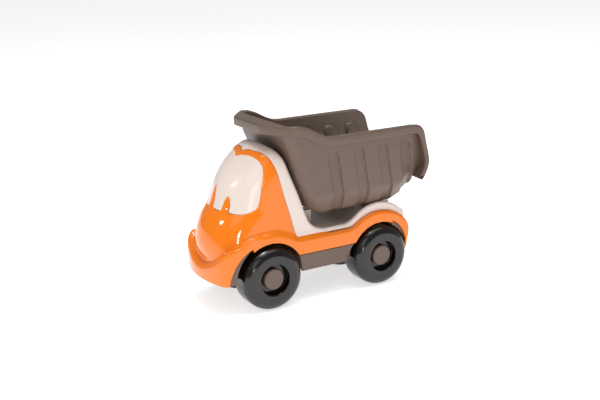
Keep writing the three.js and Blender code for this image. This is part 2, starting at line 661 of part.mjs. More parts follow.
// ---------------------------------------------------------------- the truck
const truck = new THREE.Group();
truck.add(piece('body_shell', bodyShell(), orange));
truck.add(piece('deck_shell', deckShell(), white));
truck.add(piece('windscreen', windscreen(), white));
truck.add(piece('chassis', chassis(), grey));
truck.add(piece('tipper_bed', tipperBed(), grey));
truck.add(piece('bed_hinge_pin', hingePin(), steel));

for (const [end, axleY] of [['front', frontAxleY], ['rear', rearAxleY]]) {
  for (const [hand, turn] of [['left', 0], ['right', Math.PI]]) {
    const stubAxle = new THREE.Group();
    stubAxle.add(piece(`wheel_${end}_${hand}`, wheel(), black));
    stubAxle.add(piece(`axle_pin_${end}_${hand}`, axlePin(), grey));
    stubAxle.position.set(0, axleY, tyreRadius);
    stubAxle.rotation.z = turn;
    truck.add(stubAxle);
  }
}
for (const [name, [x, y]] of Object.entries(screwSpots)) {
  truck.add(piece(name, screw(x, y), steel));
}

export default truck;
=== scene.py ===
import json
import math

import bmesh
import bpy
import numpy as np
from mathutils import Matrix, Vector


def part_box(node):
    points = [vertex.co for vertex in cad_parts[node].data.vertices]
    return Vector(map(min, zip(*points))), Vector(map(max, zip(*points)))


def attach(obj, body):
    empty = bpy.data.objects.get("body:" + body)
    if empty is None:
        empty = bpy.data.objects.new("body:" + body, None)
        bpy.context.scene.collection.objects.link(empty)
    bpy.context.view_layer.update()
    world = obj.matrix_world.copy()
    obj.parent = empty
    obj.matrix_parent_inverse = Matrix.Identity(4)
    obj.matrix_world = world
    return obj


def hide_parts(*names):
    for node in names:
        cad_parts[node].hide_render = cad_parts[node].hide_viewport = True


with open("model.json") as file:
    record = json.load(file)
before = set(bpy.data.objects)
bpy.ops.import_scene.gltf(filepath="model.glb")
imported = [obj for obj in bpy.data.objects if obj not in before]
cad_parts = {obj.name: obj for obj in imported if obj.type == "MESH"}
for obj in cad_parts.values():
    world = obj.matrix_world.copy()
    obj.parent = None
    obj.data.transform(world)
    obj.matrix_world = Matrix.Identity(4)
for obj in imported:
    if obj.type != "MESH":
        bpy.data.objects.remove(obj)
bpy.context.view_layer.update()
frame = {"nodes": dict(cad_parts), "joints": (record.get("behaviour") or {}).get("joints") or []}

bl_info = {
    "name": "Toy Dump Truck",
    "version": (1, 0, 0),
    "blender": (4, 5, 0),
    "location": "View3D > Sidebar > Toy Truck",
    "description": "Builds a moulded toy dump truck around its packed frame",
    "category": "Add Mesh",
}

MM = 0.001


# ---------------------------------------------------------------- the frame, in millimetres
def node_box(node):
    """Lowest and highest corner of a frame node, in millimetres."""
    low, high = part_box(node)
    return np.array(low) / MM, np.array(high) / MM


def joint_place(name):
    """Where a joint of the frame sits, in millimetres."""
    joint = next(j for j in frame["joints"] if j["name"] == name)
    return np.array(joint["pos_m"]) / MM


BODY_LOW, BODY_HIGH = node_box("body_shell")
DECK_HIGH = node_box("deck_shell")[1]
BED_LOW, BED_HIGH = node_box("tipper_bed")
CHASSIS_HIGH = node_box("chassis")[1]
TYRE_LOW, TYRE_HIGH = node_box("wheel_front_left")
PIN_LOW, PIN_HIGH = node_box("axle_pin_front_left")
FRONT_AXLE = joint_place("wheel_spin_front_left")[1]
REAR_AXLE = joint_place("wheel_spin_rear_left")[1]
AXLE_HEIGHT = joint_place("wheel_spin_front_left")[2]
HINGE = joint_place("bed_tilt")

# Heights, half widths, depths and radii, in millimetres. Y runs from the bumper to the tail.
# Cab.
CAB_HALF = 28.5
CAB_LEAN = 0.02
CAB_EDGE = 9
ROOF_TOP = 117.2
ROOF_DOME = 0.012
# Orange band: bumper, sills and fenders.
BODY_HALF = BODY_HIGH[0]
BODY_BOTTOM = BODY_LOW[2]
SILL_TOP = 46.0
SILL_BOTTOM = 34.65
BUMPER_FRONT = BODY_LOW[1]
BUMPER_BOW = 0.0060
LEDGE_HEIGHT = 33.0
LEDGE_CURL = 0.0156
LEDGE_BACK = FRONT_AXLE - 12
FRONT_ARCH = 24.6
REAR_ARCH = 24.2
FRONT_FENDER = 31.0
REAR_FENDER = 32.8
# White shell.
DECK_HALF = 28.2
DECK_END = DECK_HIGH[1]
DECK_FLOOR = 47.0
DECK_RIM = 49.0
DECK_LIP = 2.8
# Circles in the side view, as (y, z, radius): the white rim over the rear wheel and the two liners' outer edges.
REAR_RIM = (46.3, 31.5, 28.8)
LINER_FRONT = (-44.5, 18.0, 29.4)
LINER_REAR = (47.2, 26.7, 21.1)
# Load bed.
BED_BOTTOM = 58.5
BED_KINK = 72.2
BED_BOTTOM_HALF = 24.2
BED_KINK_HALF = 33.0
BED_TOP_HALF = 36.6
BED_INWARD = (BED_KINK_HALF - BED_BOTTOM_HALF) / (BED_KINK - BED_BOTTOM)
BED_END = BED_HIGH[1]
BED_WALL = 2.2
KICK_START = 55.0
KICK_HEIGHT = 14.9
RIM_HALF = BED_HIGH[0]
RIM_TOP = 115.3
CANOPY_TOP = BED_HIGH[2]
CANOPY_FRONT = BED_LOW[1]
RIB_PLACES = (4.1, 24.8, 44.6, 63.3)
RIB_HALF = 4.1
RIB_LEAN = 0.2
RIB_TOP = 105.2
RIB_STEP = 1.1
# Hub pins and screws.
PIN_HEAD = 7.4
PIN_SHAFT = 3.5
BORE = 3.9

# The cab's front on its middle line and the cab's back wall, as (z, y).
CAB_FRONT = ((30, -76), (44, -79.8), (55, -79), (64, -75.5), (71, -70.6), (78, -68.2), (86, -65.2),
             (95, -59), (102.7, -50.5), (106.5, -44.8), (110.6, -36.5), (113.6, -27), (115.6, -14))
CAB_BACK = ((46, 2.8), (49, 0.5), (51, -5), (55.3, -9.8), (60.5, -12.3), (67, -14.6), (77, -18),
            (88, -22.5), (98, -26.5), (105, -30), (110, -34), (114, -40))
# Edge between the orange cab and the white pillar and roof, as (y, z).
PILLAR_EDGE = ((-8, 45.9), (-16, 45.9), (-19.4, 46.3), (-21.3, 48), (-22.4, 51), (-25.6, 63.2), (-28.9, 74.8),
               (-32.1, 87), (-33.9, 93.3), (-35.4, 98), (-37, 101.8), (-38.6, 104.7), (-40.6, 106.4),
               (-43, 106.9), (-50, 106.9))
# The tail's outermost line, as (z, y).
TAIL = ((20, 69.0), (24, 69.6), (28.8, 70.9), (34, 71.9), (39, 72.1), (42.5, 71.3), (45.8, 69.4), (49, 66), (55, 58))
# The bed's front wall, as (z, y), and the bed's rear edge, as (z, y).
BED_FRONT = ((55, -3), (60.9, -5.2), (64, -9), (70, -12.2), (77, -15.6), (88, -20.3), (98, -23.8),
             (106, -26.8), (113, -29.4), (126, -31))
BED_REAR = ((60, 78.5), (72.5, 77.6), (74.2, 76.2), (76.2, 77), (78.4, 78.3), (82.2, 80.3), (87, 81.4), (91.5, 81),
            (97, 79.7), (102, 78.4), (107.4, 77.2), (111, 75.7), (114, 72.5))
# The rim's top line where it climbs towards the canopy, as (y, z).
RIM_SIDE = ((4, 115.3), (-2, 116.1), (-8, 118.6), (-14, 121.9), (-20, 124.2), (-26, 125.0))


def size_mm(name):
    """One of the truck's adjustable sizes, in millimetres."""
    return getattr(bpy.context.scene.truck_sizes, name) / MM


# ---------------------------------------------------------------- curves and distances
def curve(points):
    """A smooth function through points of (position, value)."""
    at, value = np.array(points, float).T
    slope = np.empty_like(value)
    slope[1:-1] = (value[2:] - value[:-2]) / (at[2:] - at[:-2])
    slope[0] = (value[1] - value[0]) / (at[1] - at[0])
    slope[-1] = (value[-1] - value[-2]) / (at[-1] - at[-2])

    def read(t):
        i = np.clip(np.searchsorted(at, t) - 1, 0, len(at) - 2)
        width = at[i + 1] - at[i]
        s = np.clip((t - at[i]) / width, 0, 1)
        bend = (1 - s) ** 2 * s * width * slope[i] - s * s * (1 - s) * width * slope[i + 1]
        inner = (1 + 2 * s) * (1 - s) ** 2 * value[i] + s * s * (3 - 2 * s) * value[i + 1] + bend
        return inner + np.minimum(t - at[0], 0) * slope[0] + np.maximum(t - at[-1], 0) * slope[-1]

    return read


def smooth_line(points, steps=6):
    """Points along a smooth line through the given ones."""
    points = [Vector(p) for p in points]
    line = []
    for i in range(len(points) - 1):
        before = points[max(i - 1, 0)]
        after = points[min(i + 2, len(points) - 1)]
        start, end = points[i], points[i + 1]
        for step in range(steps):
            t = step / steps
            line.append(0.5 * ((2 * start) + (end - before) * t
                               + (2 * before - 5 * start + 4 * end - after) * t * t
                               + (3 * start - before - 3 * end + after) * t ** 3))
    line.append(points[-1])
    return [tuple(p) for p in line]


def outline_distance(points):
    """A function of two coordinates: the distance to a closed outline, negative inside it."""
    start = np.array(points, float)
    along = np.roll(start, -1, axis=0) - start
    length = np.maximum((along ** 2).sum(1), 1e-12)

    def read(a, b):
        shape = np.shape(a)
        p = np.stack([np.ravel(a), np.ravel(b)], 1)
        nearest = np.full(len(p), 1e9)
        inside = np.zeros(len(p), bool)
        for s, d, n in zip(start, along, length):
            t = np.clip(((p - s) @ d) / n, 0, 1)
            nearest = np.minimum(nearest, ((p - s - t[:, None] * d) ** 2).sum(1))
            if d[1]:
                crosses = (s[1] <= p[:, 1]) != (s[1] + d[1] <= p[:, 1])
                inside ^= crosses & (p[:, 0] < s[0] + (p[:, 1] - s[1]) * d[0] / d[1])
        return np.reshape(np.where(inside, -1, 1) * np.sqrt(nearest), shape)

    return read


def rounded_max(radius, *distances):
    """The space inside all the forms, its outer edges rounded to a radius."""
    over = sum(np.maximum(d + radius, 0) ** 2 for d in distances)
    return np.minimum(np.maximum.reduce(distances), -radius) + np.sqrt(over)


def blended_min(radius, a, b):
    """The space inside either form, the corner between them filled to a radius."""
    under = np.maximum(radius - a, 0) ** 2 + np.maximum(radius - b, 0) ** 2
    return np.maximum(np.minimum(a, b), radius) - np.sqrt(under)


def axle_distance(y, z, axle):
    """Distance from a wheel's axle in the side view."""
    return np.hypot(y - axle, z - AXLE_HEIGHT)


# ---------------------------------------------------------------- the truck's forms
cab_front_at = curve(CAB_FRONT)
cab_back_at = curve(CAB_BACK)
tail_at = curve(TAIL)
bed_front_at = curve(BED_FRONT)
bed_rear_at = curve(BED_REAR)
rim_top_at = curve(RIM_SIDE[::-1] + ((12, 115.3), (60, 115.3), (80, 115.3)))


def cab_form(x, y, z):
    """The cab: bowed front, sides that lean in, domed roof and a leaning back wall."""
    lift = np.clip((z - 70) / 40, -1.2, 1.2)
    bow = 0.021 + 0.006 * lift - 0.012 * lift * lift
    lean = cab_front_at(z + 0.5) - cab_front_at(z - 0.5)
    front = (cab_front_at(z) + bow * x * x - y) / np.sqrt(1 + lean ** 2 + (2 * bow * x) ** 2)
    side = np.abs(x) - (CAB_HALF - CAB_LEAN * (z - SILL_TOP))
    top = z - (ROOF_TOP - ROOF_DOME * x * x)
    back = (y - cab_back_at(z)) * 0.94
    return rounded_max(3, rounded_max(CAB_EDGE, front, side, top), back)


def lower_form(x, y, z):
    """Bumper, sills and fenders: one band with rounded edges around the wheels."""
    sill = rounded_max(0.01, z - SILL_TOP, y - 60, LEDGE_BACK - y)
    front_fender = axle_distance(y, z, FRONT_AXLE) - FRONT_FENDER
    rear_fender = axle_distance(y, z, REAR_AXLE) - REAR_FENDER
    side_rise = 0.035 * np.maximum(np.abs(x) - 22, 0) ** 2
    ledge = rounded_max(0.01, z - (LEDGE_HEIGHT + LEDGE_CURL * x * x + side_rise), y - LEDGE_BACK)
    ledge = ledge / np.sqrt(1 + (2 * LEDGE_CURL * x) ** 2)
    top = np.minimum(blended_min(8, front_fender, ledge), blended_min(2, sill, rear_fender))
    top = np.minimum(top, blended_min(2, sill, front_fender))
    barrel = 0.0035 * np.maximum(np.abs(z - 31) - 2, 0) ** 2
    front = (BUMPER_FRONT + BUMPER_BOW * x * x + barrel - y) / np.sqrt(1 + (2 * BUMPER_BOW * x) ** 2)
    shell = rounded_max(5, front, np.abs(x) - BODY_HALF)
    edge = 2.8 + 2.6 * np.clip((FRONT_AXLE - 14 - y) / 10, 0, 1)
    return rounded_max(2.6, rounded_max(edge, shell, top), y - tail_at(z))


def white_side(x, y, z):
    """Distance from the seam between orange and white, negative on the white side."""
    dip = 1.1 * np.exp(-(x / 2.6) ** 2) * (y < -38)
    return white_outline(y, z + dip)


def deck_form(x, y, z):
    """The white shell: cab, side rims that rise over the rear wheels, and a recessed deck."""
    rim_y, rim_z, rim_radius = REAR_RIM
    top = blended_min(5, z - DECK_RIM, np.hypot(y - rim_y, z - rim_z) - rim_radius)
    solid = rounded_max(1.4, np.abs(x) - DECK_HALF, top, y - DECK_END)
    well = rounded_max(1, axle_distance(y, z, REAR_AXLE) - 27.3, 14 - np.abs(x))
    pocket = rounded_max(1.2, np.abs(x) - (DECK_HALF - DECK_LIP), DECK_FLOOR - z, y - (DECK_END - 2.6),
                         cab_back_at(z) - 3 - y)
    pocket = np.maximum(pocket, -well)
    whole = blended_min(1.5, cab_form(x, y, z), solid)
    carved = rounded_max(0.8, solid, -pocket)
    return np.where(y < cab_back_at(z) - 0.5, whole, blended_min(1.0, cab_form(x, y, z), carved))


def rib_shape(y, z):
    """1 on a rib, 0 between ribs, with a smooth step at its edge. The ribs lean forward."""
    strength = np.zeros(np.shape(y))
    for place in RIB_PLACES:
        above = np.maximum(z - (RIB_TOP - RIB_HALF), 0)
        edge = np.hypot(y - place - RIB_LEAN * (RIB_TOP - z), above) - RIB_HALF
        step = np.clip(0.5 - edge / RIB_STEP, 0, 1)
        strength = np.maximum(strength, step * step * (3 - 2 * step))
    return strength


def kick_at(y):
    """How far the bed's floor and kink rise towards the rear."""
    return KICK_HEIGHT * (np.maximum(y - KICK_START, 0) / (BED_END - 1 - KICK_START)) ** 1.6


def upper_half(y, z):
    """Half width of the bed's walls above the kink."""
    kink = BED_KINK + kick_at(y)
    return BED_KINK_HALF + (z - kink) * (BED_TOP_HALF - BED_KINK_HALF) / (RIM_TOP - kink)


def lower_half(y, z):
    """Half width of the bed's walls below the kink."""
    return BED_KINK_HALF + (z - BED_KINK - kick_at(y)) * BED_INWARD


def bed_form(x, y, z):
    """The load bed: walls that turn in below a kink, ribs, a floor that kicks up at the rear."""
    kick = kick_at(y)
    upper = np.abs(x) - upper_half(y, z)
    lower = (np.abs(x) - lower_half(y, z)) / math.hypot(1, BED_INWARD)
    side = rounded_max(1.2, upper, lower) + size_mm("rib_depth") * rib_shape(y, z)
    bottom = BED_BOTTOM + kick - z
    front = (bed_front_at(z) - y) * 0.94
    return rounded_max(7, rounded_max(3, side, bottom), front)


# ---------------------------------------------------------------- meshes from forms
def slope_of(form, points, step=0.04):
    """Outward unit normals of a form at points."""
    x, y, z = points.T
    normal = np.stack([form(x + step, y, z) - form(x - step, y, z),
                       form(x, y + step, z) - form(x, y - step, z),
                       form(x, y, z + step) - form(x, y, z - step)], 1) / (2 * step)
    size = np.maximum(np.linalg.norm(normal, axis=1, keepdims=True), 1e-6)
    return normal / size, size[:, 0]


def settle(form, points, rounds=4):
    """Moves points onto the surface of a form."""
    for _ in range(rounds):
        normal, steepness = slope_of(form, points)
        away = form(*points.T) / np.maximum(steepness, 0.3)
        points = points - normal * np.clip(away, -0.6, 0.6)[:, None]
    return points


def skin(form, low, high, cell):
    """A quad mesh of a form's surface: one vertex in each grid cell that the surface crosses."""
    counts = [int(math.ceil((h - l) / cell)) + 1 for l, h in zip(low, high)]
    axes = [l + cell * np.arange(n) for l, n in zip(low, counts)]
    value = form(*np.meshgrid(*axes, indexing="ij"))
    inside = value < 0
    cells = tuple(n - 1 for n in counts)
    total = np.zeros(cells + (3,))
    crossings = np.zeros(cells)
    flips = []
    for axis in range(3):
        near = [slice(None)] * 3
        far = [slice(None)] * 3
        near[axis], far[axis] = slice(0, -1), slice(1, None)
        a, b = value[tuple(near)], value[tuple(far)]
        flip = inside[tuple(near)] != inside[tuple(far)]
        flips.append(flip)
        where = np.argwhere(flip)
        share = (a[flip] / (a[flip] - b[flip]))
        place = where.astype(float)
        place[:, axis] += share
        others = [i for i in range(3) if i != axis]
        for da in (0, 1):
            for db in (0, 1):
                home = where.copy()
                home[:, others[0]] -= da
                home[:, others[1]] -= db
                ok = np.all((home >= 0) & (home < np.array(cells)), axis=1)
                index = tuple(home[ok].T)
                np.add.at(total, index, place[ok])
                np.add.at(crossings, index, 1)
    used = crossings > 0
    number = np.full(cells, -1)
    number[used] = np.arange(used.sum())
    points = np.array(low) + cell * total[used] / crossings[used][:, None]
    faces = []
    for axis in range(3):
        where = np.argwhere(flips[axis])
        others = [(axis + 1) % 3, (axis + 2) % 3]
        corners = []
        for da, db in ((0, 0), (1, 0), (1, 1), (0, 1)):
            home = where.copy()
            home[:, others[0]] -= da
            home[:, others[1]] -= db
            bad = np.any((home < 0) | (home >= np.array(cells)), axis=1)
            home = np.clip(home, 0, np.array(cells) - 1)
            corners.append(np.where(bad, -1, number[tuple(home.T)]))
        quads = np.stack(corners, 1)
        outward = inside[tuple(where.T)]
        quads[~outward] = quads[~outward][:, ::-1]
        faces.append(quads[(quads >= 0).all(axis=1)])
    return settle(form, points), np.concatenate(faces)


def mesh_work(points, faces):
    """An editable mesh from points and faces."""
    work = bmesh.new()
    verts = [work.verts.new(p) for p in points]
    for face in faces:
        work.faces.new([verts[i] for i in face])
    work.verts.index_update()
    return work


def score(work, form, level):
    """Cuts edges into a mesh along the line where a form has the given value."""
    work.verts.ensure_lookup_table()
    work.verts.index_update()
    places = np.array([v.co for v in work.verts])
    value = form(*places.T) - level
    value[np.abs(value) < 1e-4] = 0
    on_line = {work.verts[i] for i in np.nonzero(value == 0)[0]}
    value = value.tolist()
    for edge in list(work.edges):
        a, b = edge.verts
        va, vb = value[a.index], value[b.index]
        if va * vb < 0:
            on_line.add(bmesh.utils.edge_split(edge, a, va / (va - vb))[1])
    touched = {face for vert in on_line for face in vert.link_faces}
    for face in touched:
        hits = [v for v in face.verts if v in on_line]
        if len(hits) == 2 and not any(set(e.verts) == set(hits) for e in face.edges):
            bmesh.utils.face_split(face, hits[0], hits[1])


def panel(form, keep, low, high, cell, thickness, edge):
    """A moulded wall: the part of a form's surface where keep is positive, with rounded edges.

    The hidden side follows the shown side more softly, as the inside of a thick moulded wall does.
    """
    points, faces = skin(form, low, high, cell)
    kept = keep(*points.T) > -1.5 * cell
    faces = faces[kept[faces].any(axis=1)]
    used = np.unique(faces)
    renumber = np.full(len(points), -1)
    renumber[used] = np.arange(len(used))
    work = mesh_work(points[used], renumber[faces])
    for level in (edge, 0.4 * edge, 0.1 * edge, 0):
        score(work, keep, level)
    middles = np.array([f.calc_center_median() for f in work.faces])
    outside = keep(*middles.T) < 0
    bmesh.ops.delete(work, geom=[f for f, out in zip(list(work.faces), outside) if out], context="FACES")
    bmesh.ops.delete(work, geom=[v for v in work.verts if not v.link_faces], context="VERTS")
    bmesh.ops.dissolve_degenerate(work, dist=0.01, edges=list(work.edges))
    work.verts.index_update()
    outer = settle(form, np.array([v.co for v in work.verts]), 2)
    normal = slope_of(form, outer)[0]
    from_edge = np.clip(keep(*outer.T), 0, edge)
    drop = edge - np.sqrt(np.maximum(edge ** 2 - (edge - from_edge) ** 2, 0))
    shown = outer - normal * (0.8 * drop)[:, None]
    hidden = outer - slope_of(form, outer, 2.0)[0] * thickness
    count = len(outer)
    quads = [tuple(v.index for v in f.verts) for f in work.faces]
    border = [tuple(loop.vert.index for loop in (e.link_loops[0], e.link_loops[0].link_loop_next))
              for e in work.edges if len(e.link_faces) == 1]
    work.free()
    back = [tuple(i + count for i in reversed(face)) for face in quads]
    rim = [(b, a, a + count, b + count) for a, b in border]
    return np.concatenate([shown, hidden]), quads + back + rim


def merged(*parts):
    """Several meshes as one list of points and faces."""
    points, faces, start = [], [], 0
    for part_points, part_faces in parts:
        points.append(np.array(part_points, float))
        faces += [tuple(int(i) + start for i in face) for face in part_faces]
        start += len(part_points)
    return np.concatenate(points), faces


def mirrored(part):
    """A mesh turned over to the truck's other side."""
    points, faces = part
    return np.array(points) * (-1, 1, 1), [tuple(reversed(face)) for face in faces]


def lathe(profile, segments, turn=None):
    """A solid turned about X from points of (x, radius)."""
    points, faces = [], []
    rings = []
    for x, radius in profile:
        if radius < 1e-6:
            rings.append([len(points)])
            points.append((x, 0.0, 0.0))
            continue
        rings.append(list(range(len(points), len(points) + segments)))
        for s in range(segments):
            a = 2 * math.pi * s / segments
            points.append((x, radius * math.cos(a), radius * math.sin(a)))
    for a, b in zip(rings, rings[1:] + ([] if len(rings[0]) == 1 else [rings[0]])):
        for s in range(segments):
            t = (s + 1) % segments
            if len(a) == 1:
                faces.append((a[0], b[t], b[s]))
            elif len(b) == 1:
                faces.append((a[s], a[t], b[0]))
            else:
                faces.append((a[s], a[t], b[t], b[s]))
    points = np.array(points)
    return (points if turn is None else turn(points)), faces


def corner(centre, radius, start, end, steps=5):
    """Points on an arc, angles in degrees."""
    return [(centre[0] + radius * math.cos(math.radians(start + (end - start) * i / steps)),
             centre[1] + radius * math.sin(math.radians(start + (end - start) * i / steps)))
            for i in range(steps + 1)]


def slab(outline, x0, x1, edge=0.4, steps=3):
    """A side-view outline in (y, z), swept across the truck from x0 to x1, with rounded edges."""
    line = np.array(outline, float)
    if (line[:, 0] * np.roll(line[:, 1], -1) - np.roll(line[:, 0], -1) * line[:, 1]).sum() < 0:
        line = line[::-1]
    before, after = line - np.roll(line, 1, axis=0), np.roll(line, -1, axis=0) - line
    before /= np.linalg.norm(before, axis=1, keepdims=True)
    after /= np.linalg.norm(after, axis=1, keepdims=True)
    bisector = before + after
    bisector /= np.maximum(np.linalg.norm(bisector, axis=1, keepdims=True), 1e-6)
    inward = np.stack([-bisector[:, 1], bisector[:, 0]], 1)
    inward /= np.maximum((inward * np.stack([-after[:, 1], after[:, 0]], 1)).sum(1, keepdims=True), 0.5)
    stations = [(x0 + edge - edge * math.cos(a), edge - edge * math.sin(a))
                for a in (math.pi / 2 * i / steps for i in range(steps + 1))]
    stations += [(x0 + x1 - x, inset) for x, inset in reversed(stations)]
    points, faces = [], []
    count = len(line)
    for x, inset in stations:
        ring = line + inward * inset
        points += [(x, y, z) for y, z in ring]
    for s in range(len(stations) - 1):
        for i in range(count):
            j = (i + 1) % count
            faces.append((s * count + i, s * count + j, (s + 1) * count + j, (s + 1) * count + i))
    last = (len(stations) - 1) * count
    faces.append(tuple(reversed(range(count))))
    faces.append(tuple(range(last, last + count)))
    return np.array(points), [tuple(reversed(f)) for f in faces[:-2]] + [faces[-1], faces[-2]]


def add_piece(name, part, body, slot, nodes, smooth_angle=32):
    """Puts a mesh in the scene, finished for its slot, as a piece that rides a body and stands for frame nodes."""
    points, faces = part
    mesh = bpy.data.meshes.new(name)
    mesh.from_pydata((np.asarray(points) * MM).tolist(), [], faces)
    mesh.validate()
    mesh.shade_smooth()
    mesh.set_sharp_from_angle(angle=math.radians(smooth_angle))
    mesh.materials.append(finish_of(slot))
    piece = bpy.data.objects.new(name, mesh)
    bpy.context.scene.collection.objects.link(piece)
    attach(piece, body)
    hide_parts(*nodes)


# ---------------------------------------------------------------- seams between the panels
EDGE_LINE = smooth_line([(y, z) for y, z in PILLAR_EDGE[:-1]], 5)
white_outline = outline_distance(EDGE_LINE + [(-110, 106.9), (-110, 150), (120, 150), (120, 45.9)])


def screen_outline(side):
    """One pane of the windscreen in the front view, as (x, z)."""
    centre_tongue = smooth_line([(0, 85.6), (1.2, 81.5), (2.3, 76), (2.7, 70.3)], 6)
    inner_foot = smooth_line([(2.9, 70.2), (6, 69.7), (11.0, 69.3)], 3)
    slot_line = smooth_line([(11.2, 69.5), (11.3, 73), (12, 76.6), (13.1, 78.7), (14.5, 77.4), (15.7, 73.5),
                             (16.5, 69.1)], 5)
    outer = smooth_line([(16.8, 68.8), (21.5, 68.1), (24.4, 68.2), (26, 69.7), (26.5, 73), (26.2, 82), (25.5, 90.5),
                         (24.4, 95.6), (22.6, 99.4), (19.3, 102.2), (14.5, 103.7), (9.2, 104.1), (4, 103.6),
                         (0, 102.4)], 6)
    line = centre_tongue + inner_foot + slot_line + outer
    return [(side * x, z) for x, z in line]


screen_distance = outline_distance(screen_outline(1)[:-1] + screen_outline(-1)[::-1][:-1])


# ---------------------------------------------------------------- pieces
def orange_shell():
    """The orange cab, bumper, sills and fenders as one moulded wall, open at the arches and the windscreen."""
    form = lambda x, y, z: blended_min(2.4, cab_form(x, y, z), lower_form(x, y, z))

    def keep(x, y, z):
        lip = np.maximum(np.abs(x) - (DECK_HALF + 0.3), y - (DECK_END + 0.3))
        seam = np.maximum(white_side(x, y, z) - size_mm("seam_gap"), lip)
        screen = np.where(y < -38, screen_distance(x, z), 50)
        front = axle_distance(y, z, FRONT_AXLE)
        rear = axle_distance(y, z, REAR_AXLE)
        liner_y, liner_z, liner_radius = LINER_FRONT
        front_arch = np.where(y < -55.2, np.hypot(y - liner_y, z - liner_z) - liner_radius, front - FRONT_ARCH)
        tail_y, tail_z, tail_radius = LINER_REAR
        rear_arch = np.where(y > 56.4, np.hypot(y - tail_y, z - tail_z) - tail_radius, rear - REAR_ARCH)
        arch = np.minimum(front_arch, rear_arch)
        between = np.where((y > FRONT_AXLE) & (y < REAR_AXLE), z - SILL_BOTTOM, 50)
        return np.minimum.reduce([seam, screen, arch, between, z - BODY_BOTTOM])

    return panel(form, keep, (-33, -84, 20), (33, 74, 112), size_mm("mesh_cell"), size_mm("shell_wall"),
                 size_mm("edge_radius"))


def white_shell():
    """Roof, pillars, cab back and recessed deck, with the bed rests, the hinge ears and a moulding gate mark."""
    keep = lambda x, y, z: -white_side(x, y, z) - size_mm("seam_gap")
    shell = panel(deck_form, keep, (-30, -48, 43), (30, 70, 118), size_mm("mesh_cell"), 1.2, size_mm("edge_radius"))
    rests = [slab([(-4, DECK_FLOOR - 1), (2, DECK_FLOOR - 1), (2, BED_BOTTOM - 0.4), (-4, BED_BOTTOM - 0.4)], x, x + 4)
             for x in (5, -9)]
    ear = corner((HINGE[1], HINGE[2]), 4, 0, 180, 12) + [(58, DECK_FLOOR - 1), (66, DECK_FLOOR - 1)]
    ears = [slab(ear, x, x + 3, 0.5) for x in (10.2, -13.2)]
    boss = lathe([(DECK_FLOOR + 0.3, 0), (DECK_FLOOR + 0.6, 1.9), (DECK_FLOOR + 0.2, 2.6), (DECK_FLOOR - 0.5, 2.6),
                  (DECK_FLOOR - 0.5, 0)], 32,
                 lambda p: np.stack([9.5 + p[:, 1], 35.5 - p[:, 2], p[:, 0]], 1))
    return merged(shell, *rests, *ears, boss)


def screen_insert():
    """The windscreen: two white panes in one moulding, set a little into the cab."""
    form = lambda x, y, z: cab_form(x, y, z) + size_mm("screen_inset")
    keep = lambda x, y, z: np.where(y < -38, -screen_distance(x, z) - size_mm("seam_gap"), -50)
    return panel(form, keep, (-30, -74, 64), (30, -40, 108), size_mm("mesh_cell"), size_mm("shell_wall"), 0.4)


def bed_tub():
    """The walls and floor of the bed, open at the top and the rear."""
    def keep(x, y, z):
        rim_line = rim_top_at(y) - 1.4 - z
        return np.minimum(rim_line, bed_rear_at(z) - y)

    return panel(bed_form, keep, (-39, -34, 57), (39, 85, 127), size_mm("mesh_cell"), BED_WALL, 0.5)


def rim_stations():
    """Outer edge and inner edge of the rim on one side, from the rear tip to the middle of the canopy."""
    rear = smooth_line([(75.9, 74.6), (76.9, 74.9), (78.9, 77.6), (81.2, 82.2), (82.4, 87), (82.0, 91.5), (80.7, 97),
                        (79.4, 102), (78.3, 107.4), (76.9, 111), (74.0, 114), (70, 115.2), (65, RIM_TOP)], 5)
    level = [(y, RIM_TOP) for y in np.linspace(60, 10, 11)]
    rise = smooth_line([(8, RIM_TOP), *RIM_SIDE[:-1]], 4)
    outer, inner = [], []
    for y, z in rear + level + rise:
        half = min(upper_half(y, z), lower_half(y, z), BED_TOP_HALF)
        outer.append((RIM_HALF, y, z))
        inner.append((half - BED_WALL, y, z))
    plan = smooth_line([(RIM_HALF, -21.5), (RIM_HALF - 0.3, -24.5), (RIM_HALF - 2, -27.8), (33, -32.1), (28, -36),
                        (24, -39), (21.5, -40.4), (18, CANOPY_FRONT)], 5)
    plan += [(x, CANOPY_FRONT) for x in (14, 8, 3, 0)]
    back = smooth_line([(BED_TOP_HALF - BED_WALL, -20.5), (BED_TOP_HALF - 2.3, -22.5), (34, -25), (31.5, -27.4),
                        (28, -28.5), (24, -28.7), (21, -28.7), (18, -28.7)], 5)
    back += [(x, -28.7) for x in (14, 8, 3, 0)]
    for (x, y), (u, v) in zip(plan, back):
        outer.append((x, y, float(np.minimum(CANOPY_TOP, rim_top_at(y)))))
        inner.append((u, v, float(np.minimum(CANOPY_TOP, rim_top_at(y)))))
    return np.array(outer), np.array(inner)


